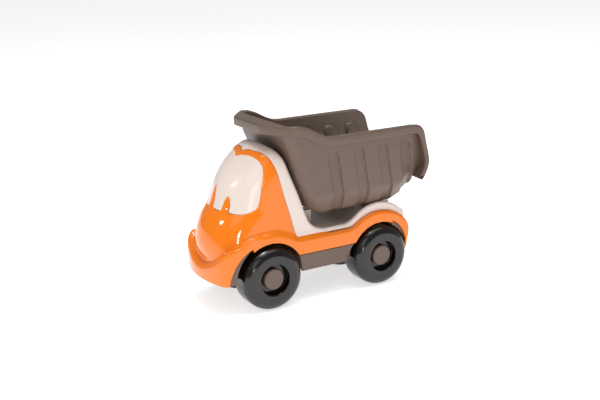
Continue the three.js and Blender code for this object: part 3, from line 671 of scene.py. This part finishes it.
def bed_rim():
    """The bed's rim: a plate out from the wall with a skirt, run round the bed and over the cab."""
    outer, inner = rim_stations()
    flip = np.array((-1, 1, 1))
    outer = np.concatenate([outer, outer[-2::-1] * flip])
    inner = np.concatenate([inner, inner[-2::-1] * flip])
    along = np.gradient(outer, axis=0)
    along /= np.linalg.norm(along, axis=1, keepdims=True)
    out = outer - inner
    width = np.linalg.norm(out, axis=1)
    out /= width[:, None]
    up = np.cross(along, out)
    up /= np.linalg.norm(up, axis=1, keepdims=True)
    plate = 2.0
    rim_band = size_mm("rim_band")
    points, faces = [], []
    for place, u, n, w in zip(outer, out, up, width):
        narrow = np.clip((place[1] - 68) / 9, 0, 1) * np.clip((116 - place[2]) / 14, 0, 1)
        band = rim_band * (1 - 0.38 * narrow)
        section = [(-w, -0.7), (-w * 0.55, -0.35)]
        section += corner((-1.5, -1.5), 1.5, 90, 0, 5)
        section += corner((-0.8, -band + 0.8), 0.8, 0, -90, 4)
        section += [(-plate, -band), (-plate, -plate - 0.8), (-plate - 0.8, -plate), (-w, -plate - 0.6)]
        points += [place + u * a + n * b for a, b in section]
    ring = len(section)
    for s in range(len(outer) - 1):
        for i in range(ring):
            j = (i + 1) % ring
            faces.append((s * ring + i, (s + 1) * ring + i, (s + 1) * ring + j, s * ring + j))
    last = (len(outer) - 1) * ring
    faces.append(tuple(range(ring)))
    faces.append(tuple(reversed(range(last, last + ring))))
    return np.array(points), faces


def bed_lugs():
    """The two lugs under the bed that turn on the hinge rod."""
    ear = corner((HINGE[1], HINGE[2]), 4, 180, 360, 12) + [(66, BED_BOTTOM + 2.5), (58, BED_BOTTOM + 1.5)]
    return merged(*[slab(ear, x, x + 4, 0.5) for x in (5.2, -9.2)])


def tyre():
    """One wheel: a round-shouldered tyre with a dished face and a bore for its pin."""
    low, face = TYRE_LOW[0], TYRE_HIGH[0]
    radius = AXLE_HEIGHT
    profile = corner((low + 1.2, radius - 1.2), 1.2, 180, 90, 4)
    profile += [(low + 5, radius)]
    profile += corner((face - 6.5, radius - 6.5), 6.5, 90, 0, 12)
    profile += corner((face - 0.8, 11.6), 0.8, 0, -90, 4)
    profile += [(30.2, 10.7), (29.5, 10.0), (29.5, BORE), (low + 0.6, BORE), (low + 0.6, 6.3), (27, 6.3), (27, 13.2),
                (face - 2.4, 13.2), (face - 2.4, 15), (31.2, 18), (28, 19.6), (low, 19.6)]
    return lathe(profile, 96)


def pin():
    """A stub axle whose wide flat head is the hub."""
    low, high, radius = PIN_LOW[0], PIN_HIGH[0], PIN_HEAD
    profile = [(high - 0.15, 0), (high - 0.05, radius - 2.2)]
    profile += corner((high - 0.9, radius - 0.9), 0.9, 0, 90, 5)
    profile += [(high - 3, radius), (high - 3, PIN_SHAFT), (low + 1, PIN_SHAFT), (low, 2.6), (low, 0)]
    return lathe(profile[::-1], 64)


def wheel_places():
    """Name, axle and side of each wheel."""
    for end, axle in (("front", FRONT_AXLE), ("rear", REAR_AXLE)):
        for hand, side in (("left", 1), ("right", -1)):
            yield f"{end}_{hand}", axle, side


def at_axle(part, axle, side):
    """A part moved to its axle, turned over for the truck's right side."""
    part = part if side > 0 else mirrored(part)
    return np.array(part[0]) + (0, axle, AXLE_HEIGHT), part[1]


def chassis_tray():
    """Side skirts between the wheels, a floor, liners round the wheels and sleeves for the pins."""
    top = 25.0
    parts = []
    half = CHASSIS_HIGH[0]
    skirt = smooth_line([(-18.5, 22.5), (-19.2, 27.2), (-19.8, 31), (-20.5, 34.4)], 4)
    skirt += smooth_line([(24.2, 34.4), (20.5, 30.5), (18, 26.5), (16.6, 22.5)], 4)
    for x in (half - 2.4, -half):
        parts.append(slab(skirt, x, x + 2.4, 0.5))
    floor = [(FRONT_AXLE + FRONT_ARCH, 22.5), (REAR_AXLE - REAR_ARCH, 22.5), (REAR_AXLE - REAR_ARCH, top),
             (FRONT_AXLE + FRONT_ARCH, top)]
    parts.append(slab(floor, -half + 2.6, half - 2.6, 0.3))
    parts.append(slab([(-66, 22.5), (69, 22.5), (69, top), (-66, top)], -13.5, 13.5, 0.5))
    parts.append(slab([(-76, 22.5), (-64, 22.5), (-64, top), (-76, top)], -18, 18, 0.5))
    liner_y, liner_z, liner_radius = LINER_FRONT
    line = corner((FRONT_AXLE, AXLE_HEIGHT), 26.4, 121.5, 178.5, 28)
    line += corner((liner_y, liner_z), liner_radius - 0.35, 171, 111.8, 28)
    parts.append(slab(line, -half + 0.4, half - 0.4, 0.35))
    tail_y, tail_z, tail_radius = LINER_REAR
    line = corner((REAR_AXLE, AXLE_HEIGHT), 22.9, 15.7, 62, 24)
    line += corner((tail_y, tail_z), tail_radius - 0.35, 62.4, 4.6, 24)
    parts.append(slab(line, -half + 0.4, half - 0.4, 0.3))
    for axle, radius, start, end in ((FRONT_AXLE, FRONT_ARCH, 1, 28), (REAR_AXLE, REAR_ARCH, 152, 179)):
        line = corner((axle, AXLE_HEIGHT), radius, start, end, 24)
        line += corner((axle, AXLE_HEIGHT), radius + 2.4, end, start, 24)
        parts.append(slab(line, -half + 2.8, half - 2.8, 0.4))
    for axle in (FRONT_AXLE, REAR_AXLE):
        sleeve = [(-15.9, BORE), (-15.4, 6.5), (15.4, 6.5), (15.9, BORE)]
        parts.append(lathe(sleeve, 48, lambda p, a=axle: p + (0, a, AXLE_HEIGHT)))
    return merged(*parts)


def screw_head(place):
    """A self-tapping screw, head down, its head's face at a place."""
    x, y, z = place
    profile = [(0, 0), (0, 2.0), (0.3, 2.5), (0.9, 2.7), (1.4, 2.7), (2.0, 1.35), (9.4, 1.3), (10.6, 0.5), (11, 0)]
    return lathe(profile, 32, lambda p: np.stack([x + p[:, 1], y - p[:, 2], z + p[:, 0]], 1))


def hinge_rod():
    """The steel rod that the bed tilts on."""
    low, high = node_box("bed_hinge_pin")
    profile = [(low[0], 0), (low[0], 1.1), (low[0] + 0.4, 1.5), (high[0] - 0.4, 1.5), (high[0], 1.1), (high[0], 0)]
    return lathe(profile, 32, lambda p: p + (0, HINGE[1], HINGE[2]))


# ---------------------------------------------------------------- materials
def linear(hex_colour):
    """An sRGB hex colour such as "#FB7D1E" as linear red, green and blue."""
    channels = [int(hex_colour.lstrip("#")[i:i + 2], 16) / 255 for i in (0, 2, 4)]
    return [c / 12.92 if c <= 0.04045 else ((c + 0.055) / 1.055) ** 2.4 for c in channels]


def add_node(tree, kind, links=None, **settings):
    """Adds a node, sets its properties and input values, and links its inputs to other nodes' outputs."""
    node = tree.nodes.new(kind)
    for key, value in settings.items():
        if hasattr(node, key):
            setattr(node, key, value)
        else:
            socket = next(s for s in node.inputs if s.name == key.replace("_", " ") and s.enabled)
            socket.default_value = value
    for key, output in (links or {}).items():
        socket = node.inputs[key] if isinstance(key, int) else next(
            s for s in node.inputs if s.name == key and s.enabled)
        tree.links.new(output, socket)
    return node


def per_mm(size):
    """The texture scale at which a pattern repeats about every so many millimetres."""
    return 1000.0 / size


def moulded_plastic(name, colour, shade_shift, roughness, ior, ripple_mm, ripple_height_mm, grain_mm,
                    grain_height_mm, scuff=0.05):
    """A plastic moulded in one colour: soft flow shading, fine surface ripple and lightly rubbed patches."""
    material = bpy.data.materials.new(name)
    material.use_nodes = True
    tree = material.node_tree
    tree.nodes.clear()
    base = linear(colour)
    dark = [c * (1 - shade_shift) for c in base]
    light = [min(1.0, c * (1 + shade_shift)) for c in base]
    place = add_node(tree, "ShaderNodeTexCoord")
    flow = add_node(tree, "ShaderNodeTexNoise", {"Vector": place.outputs["Object"]}, Scale=per_mm(45), Detail=2.0,
                    Roughness=0.4, Distortion=0.8)
    tint = add_node(tree, "ShaderNodeValToRGB", {"Fac": flow.outputs["Fac"]})
    tint.color_ramp.elements[0].position = 0.3
    tint.color_ramp.elements[0].color = (*dark, 1)
    tint.color_ramp.elements[1].position = 0.7
    tint.color_ramp.elements[1].color = (*light, 1)
    rubbed = add_node(tree, "ShaderNodeTexNoise", {"Vector": place.outputs["Object"]}, Scale=per_mm(9), Detail=4.0,
                      Roughness=0.65)
    polish = add_node(tree, "ShaderNodeMapRange", {"Value": rubbed.outputs["Fac"]}, From_Min=0.35, From_Max=0.75,
                      To_Min=roughness, To_Max=roughness + scuff)
    ripple = add_node(tree, "ShaderNodeTexNoise", {"Vector": place.outputs["Object"]}, Scale=per_mm(ripple_mm),
                      Detail=1.0, Roughness=0.3)
    ripple_bump = add_node(tree, "ShaderNodeBump", {"Height": ripple.outputs["Fac"]}, Strength=1.0,
                           Distance=ripple_height_mm * MM)
    grain = add_node(tree, "ShaderNodeTexNoise", {"Vector": place.outputs["Object"]}, Scale=per_mm(grain_mm),
                     Detail=3.0, Roughness=0.6)
    bump = add_node(tree, "ShaderNodeBump", {"Height": grain.outputs["Fac"], "Normal": ripple_bump.outputs["Normal"]},
                    Strength=1.0, Distance=grain_height_mm * MM)
    shader = add_node(tree, "ShaderNodeBsdfPrincipled", {"Base Color": tint.outputs["Color"],
                                                         "Roughness": polish.outputs["Result"],
                                                         "Normal": bump.outputs["Normal"]}, IOR=ior)
    add_node(tree, "ShaderNodeOutputMaterial", {"Surface": shader.outputs["BSDF"]})
    return material


def glossy_orange_abs(colours):
    # ABS injected into a polished mould: saturated colour, sharp soft-box highlights with a faint ripple.
    return moulded_plastic("glossy moulded ABS, orange", colours.orange, shade_shift=0.025, roughness=0.06, ior=1.54,
                           ripple_mm=14, ripple_height_mm=0.008, grain_mm=0.9, grain_height_mm=0.0004, scuff=0.03)


def glossy_white_abs(colours):
    # The same ABS in warm white: bright, with a soft sheen rather than a mirror.
    return moulded_plastic("glossy moulded ABS, warm white", colours.white, shade_shift=0.012, roughness=0.2, ior=1.5,
                           ripple_mm=14, ripple_height_mm=0.02, grain_mm=0.9, grain_height_mm=0.0008)


def satin_grey_polypropylene(colours):
    # Polypropylene from a spark-eroded mould: a fine even grain that spreads highlights into a satin haze.
    return moulded_plastic("satin moulded polypropylene, warm grey", colours.grey, shade_shift=0.03, roughness=0.36,
                           ior=1.5, ripple_mm=18, ripple_height_mm=0.03, grain_mm=0.45, grain_height_mm=0.008,
                           scuff=0.08)


def glossy_black_polystyrene(colours):
    # High-impact polystyrene from a polished mould: near black, with crisp reflections that roll over the shoulder.
    return moulded_plastic("glossy moulded polystyrene, black", colours.black, shade_shift=0.1, roughness=0.14,
                           ior=1.57, ripple_mm=12, ripple_height_mm=0.012, grain_mm=0.8, grain_height_mm=0.0006,
                           scuff=0.06)


def zinc_plated_steel(colours):
    # Steel drawn and then bright zinc plated: a cool metal glint with fine turning lines.
    material = bpy.data.materials.new("drawn steel, bright zinc plated")
    material.use_nodes = True
    tree = material.node_tree
    tree.nodes.clear()
    base = linear(colours.steel)
    place = add_node(tree, "ShaderNodeTexCoord")
    lines = add_node(tree, "ShaderNodeTexNoise", {"Vector": place.outputs["Object"]}, Scale=per_mm(0.35), Detail=2.0)
    tone = add_node(tree, "ShaderNodeMix", {"Factor": lines.outputs["Fac"]}, data_type="RGBA")
    tone.inputs[6].default_value = (*[c * 0.86 for c in base], 1)
    tone.inputs[7].default_value = (*base, 1)
    worn = add_node(tree, "ShaderNodeMapRange", {"Value": lines.outputs["Fac"]}, To_Min=0.24, To_Max=0.4)
    bump = add_node(tree, "ShaderNodeBump", {"Height": lines.outputs["Fac"]}, Strength=1.0, Distance=0.01 * MM)
    shader = add_node(tree, "ShaderNodeBsdfPrincipled", {"Base Color": tone.outputs[2],
                                                         "Roughness": worn.outputs["Result"],
                                                         "Normal": bump.outputs["Normal"]}, Metallic=1.0)
    add_node(tree, "ShaderNodeOutputMaterial", {"Surface": shader.outputs["BSDF"]})
    return material


def pale_sweep(colour):
    # Matt white paper sweep: a plain pale ground that takes only soft shadows.
    material = bpy.data.materials.new("matt white paper sweep")
    material.use_nodes = True
    tree = material.node_tree
    tree.nodes.clear()
    place = add_node(tree, "ShaderNodeTexCoord")
    fibre = add_node(tree, "ShaderNodeTexNoise", {"Vector": place.outputs["Object"]}, Scale=per_mm(3), Detail=3.0)
    bump = add_node(tree, "ShaderNodeBump", {"Height": fibre.outputs["Fac"]}, Strength=0.3, Distance=0.02 * MM)
    shader = add_node(tree, "ShaderNodeBsdfPrincipled", {"Normal": bump.outputs["Normal"]},
                      Base_Color=(*linear(colour), 1), Roughness=0.9, Emission_Color=(*linear(colour), 1),
                      Emission_Strength=0.62)
    add_node(tree, "ShaderNodeOutputMaterial", {"Surface": shader.outputs["BSDF"]})
    return material


FINISHES = {"orange_body": glossy_orange_abs, "white_body": glossy_white_abs,
            "grey_plastic": satin_grey_polypropylene, "black_tyre": glossy_black_polystyrene,
            "steel": zinc_plated_steel}
MATERIALS = {}


def finish_of(slot):
    """The material of a record slot, made once."""
    if slot not in MATERIALS:
        MATERIALS[slot] = FINISHES[slot](bpy.context.scene.truck_colours)
    return MATERIALS[slot]


# ---------------------------------------------------------------- the stage
# Camera: place in millimetres, then azimuth, elevation and roll in degrees, and focal length in picture widths.
CAMERA_PLACE = (538.34, -308.54, 238.48)
CAMERA_ANGLES = (60.31, 15.79, -1.5)
CAMERA_FOCAL = 908.6 / 600
SENSOR_WIDTH = 36.0
FLOOR_HALF = 14.0
# Soft boxes: name, place and target in metres, width and height in metres, power in watts.
SOFT_BOXES = (
    ("overhead soft box", (0.15, 0.1, 1.4), (0, 0, 0.05), (1.3, 1.3), 8.8),
    ("overhead window", (0.1, -0.1, 1.25), (0, 0, 0.06), (0.3, 0.3), 3.6),
    ("side fill", (1.0, -0.8, 0.9), (0, 0, 0.06), (0.8, 0.8), 2.0),
    ("front window", (-0.05, -1.35, 0.72), (0.015, -0.07, 0.062), (0.13, 0.13), 1.6),
    ("side window", (1.35, -0.5, 0.2), (0.026, -0.063, 0.056), (0.09, 0.16), 1.2),
)


def camera_axes(azimuth, elevation, roll):
    """The camera's right, up and forward directions from its angles in degrees."""
    a, e, r = (math.radians(v) for v in (azimuth, elevation, roll))
    back = Vector((math.sin(a) * math.cos(e), -math.cos(a) * math.cos(e), math.sin(e)))
    right = (-back).cross(Vector((0, 0, 1))).normalized()
    up = right.cross(-back)
    return (right * math.cos(r) + up * math.sin(r), -right * math.sin(r) + up * math.cos(r), -back)


def add_soft_box(name, place, target, size, power):
    """An area light at a place, turned to a target."""
    data = bpy.data.lights.new(name, "AREA")
    data.shape = "RECTANGLE"
    data.size, data.size_y = size
    data.energy = power
    light = bpy.data.objects.new(name, data)
    light.location = place
    light.rotation_euler = (Vector(target) - Vector(place)).to_track_quat("-Z", "Y").to_euler()
    bpy.context.scene.collection.objects.link(light)


# ---------------------------------------------------------------- sizes, colours, operators and panel
def length_property(name, description, default, low, high):
    """A length in metres that a user can change."""
    return bpy.props.FloatProperty(name=name, description=description, default=default, min=low, max=high,
                                   precision=5, unit="LENGTH")


def colour_property(name, pieces, default):
    """An sRGB hex colour that a user can change."""
    return bpy.props.StringProperty(name=name, description="sRGB hex colour of " + pieces, default=default)


class TruckSizes(bpy.types.PropertyGroup):
    shell_wall: length_property("Shell wall", "Wall thickness of the cab and the windscreen", 0.0018, 0.001, 0.0022)
    edge_radius: length_property("Edge radius", "Rounding along the edges of the shells", 0.00055, 0.0001, 0.001)
    seam_gap: length_property("Seam gap", "Half the gap between neighbouring shells", 0.00012, 0.00005, 0.0004)
    mesh_cell: length_property("Mesh cell", "Spacing of the points on the moulded walls", 0.0009, 0.0006, 0.002)
    screen_inset: length_property("Windscreen inset", "Depth of the windscreen in the cab", 0.00025, 0.0, 0.0012)
    rib_depth: length_property("Rib depth", "How deep the bed's side ribs are pressed in", 0.0017, 0.0005, 0.0019)
    rim_band: length_property("Rim band", "Height of the band that hangs from the bed's rim", 0.0062, 0.003, 0.0065)


class TruckColours(bpy.types.PropertyGroup):
    orange: colour_property("Orange shell", "the cab and fenders", "#F87F0B")
    white: colour_property("White shell", "the deck, roof and windscreen", "#ECDCD2")
    grey: colour_property("Grey plastic", "the bed and chassis", "#6B584C")
    black: colour_property("Tyres", "the wheels", "#0E0A08")
    steel: colour_property("Steel", "the screws and hinge rod", "#C6C6C3")
    floor: colour_property("Floor", "the paper sweep", "#FFFFFF")


class TruckPieceOperator:
    bl_options = {"REGISTER", "UNDO"}


class AddOrangeShell(TruckPieceOperator, bpy.types.Operator):
    """Adds the orange cab, bumper, sills and fenders"""
    bl_idname = "toy_truck.orange_shell"
    bl_label = "Orange shell"

    def execute(self, context):
        add_piece("orange_shell", orange_shell(), "root", "orange_body", ["body_shell"])
        return {"FINISHED"}


class AddWhiteShell(TruckPieceOperator, bpy.types.Operator):
    """Adds the white roof, pillars, side rims and recessed deck"""
    bl_idname = "toy_truck.white_shell"
    bl_label = "White shell"

    def execute(self, context):
        add_piece("white_shell", white_shell(), "root", "white_body", ["deck_shell"])
        return {"FINISHED"}


class AddScreen(TruckPieceOperator, bpy.types.Operator):
    """Adds the one-piece windscreen insert"""
    bl_idname = "toy_truck.screen"
    bl_label = "Windscreen"

    def execute(self, context):
        add_piece("windscreen_insert", screen_insert(), "root", "white_body", ["windscreen"])
        return {"FINISHED"}


class AddBed(TruckPieceOperator, bpy.types.Operator):
    """Adds the tipping bed: ribbed tub, rim with its canopy, and hinge lugs"""
    bl_idname = "toy_truck.bed"
    bl_label = "Tipping bed"

    def execute(self, context):
        for name, make in (("bed_tub", bed_tub), ("bed_rim", bed_rim), ("bed_lugs", bed_lugs)):
            add_piece(name, make(), "bed", "grey_plastic", ["tipper_bed"])
        return {"FINISHED"}


class AddChassis(TruckPieceOperator, bpy.types.Operator):
    """Adds the grey underbody with its side skirts and wheel liners"""
    bl_idname = "toy_truck.chassis"
    bl_label = "Chassis"

    def execute(self, context):
        add_piece("chassis_tray", chassis_tray(), "root", "grey_plastic", ["chassis"])
        return {"FINISHED"}


class AddWheels(TruckPieceOperator, bpy.types.Operator):
    """Adds the four wheels and their hub pins"""
    bl_idname = "toy_truck.wheels"
    bl_label = "Wheels"

    def execute(self, context):
        for place, axle, side in wheel_places():
            add_piece("tyre_" + place, at_axle(tyre(), axle, side), "wheel_" + place, "black_tyre", ["wheel_" + place])
            add_piece("hub_pin_" + place, at_axle(pin(), axle, side), "root", "grey_plastic", ["axle_pin_" + place])
        return {"FINISHED"}


class AddFasteners(TruckPieceOperator, bpy.types.Operator):
    """Adds the six chassis screws and the bed's hinge rod"""
    bl_idname = "toy_truck.fasteners"
    bl_label = "Screws and hinge rod"

    def execute(self, context):
        screws = [name for name in frame["nodes"] if name.startswith("chassis_screw")]
        for name in screws:
            low, high = node_box(name)
            middle = (low + high) / 2
            add_piece(name + "_visual", screw_head((middle[0], middle[1], low[2])), "root", "steel", [name])
        add_piece("hinge_rod", hinge_rod(), "root", "steel", ["bed_hinge_pin"])
        return {"FINISHED"}


class AddStage(TruckPieceOperator, bpy.types.Operator):
    """Adds the floor, the soft studio lights and the camera"""
    bl_idname = "toy_truck.stage"
    bl_label = "Stage"

    def execute(self, context):
        scene = context.scene
        half = FLOOR_HALF
        mesh = bpy.data.meshes.new("floor")
        mesh.from_pydata([(-half, -half, 0), (half, -half, 0), (half, half, 0), (-half, half, 0)], [], [(0, 1, 2, 3)])
        mesh.materials.append(pale_sweep(scene.truck_colours.floor))
        floor = bpy.data.objects.new("floor", mesh)
        scene.collection.objects.link(floor)
        for name, place, target, size, power in SOFT_BOXES:
            add_soft_box(name, place, target, size, power)
        world = bpy.data.worlds.new("studio")
        world.use_nodes = True
        background = world.node_tree.nodes["Background"]
        background.inputs["Color"].default_value = (1, 1, 1, 1)
        background.inputs["Strength"].default_value = 0.28
        scene.world = world
        scene.view_settings.view_transform = "Standard"
        camera_data = bpy.data.cameras.new("camera")
        camera_data.sensor_width = SENSOR_WIDTH
        camera_data.lens = SENSOR_WIDTH * CAMERA_FOCAL
        camera_data.clip_start = 0.01
        camera = bpy.data.objects.new("camera", camera_data)
        scene.collection.objects.link(camera)
        right, up, forward = camera_axes(*CAMERA_ANGLES)
        camera.matrix_world = Matrix([[right[i], up[i], -forward[i], CAMERA_PLACE[i] * MM] for i in range(3)]
                                     + [[0, 0, 0, 1]])
        scene.camera = camera
        return {"FINISHED"}


PIECE_OPERATORS = (AddOrangeShell, AddWhiteShell, AddScreen, AddBed, AddChassis, AddWheels, AddFasteners, AddStage)


class TruckPanel(bpy.types.Panel):
    bl_idname = "VIEW3D_PT_toy_truck"
    bl_label = "Toy Dump Truck"
    bl_space_type = "VIEW_3D"
    bl_region_type = "UI"
    bl_category = "Toy Truck"

    def draw(self, context):
        for name in TruckSizes.__annotations__:
            self.layout.prop(context.scene.truck_sizes, name)
        for name in TruckColours.__annotations__:
            self.layout.prop(context.scene.truck_colours, name)
        for operator in PIECE_OPERATORS:
            self.layout.operator(operator.bl_idname)


CLASSES = (TruckSizes, TruckColours, *PIECE_OPERATORS, TruckPanel)


def register():
    for cls in CLASSES:
        bpy.utils.register_class(cls)
    bpy.types.Scene.truck_sizes = bpy.props.PointerProperty(type=TruckSizes)
    bpy.types.Scene.truck_colours = bpy.props.PointerProperty(type=TruckColours)


def unregister():
    del bpy.types.Scene.truck_colours
    del bpy.types.Scene.truck_sizes
    for cls in reversed(CLASSES):
        bpy.utils.unregister_class(cls)


def main():
    register()
    for operator in PIECE_OPERATORS:
        group, name = operator.bl_idname.split(".")
        getattr(getattr(bpy.ops, group), name)()


if __name__ == "__main__":
    main()
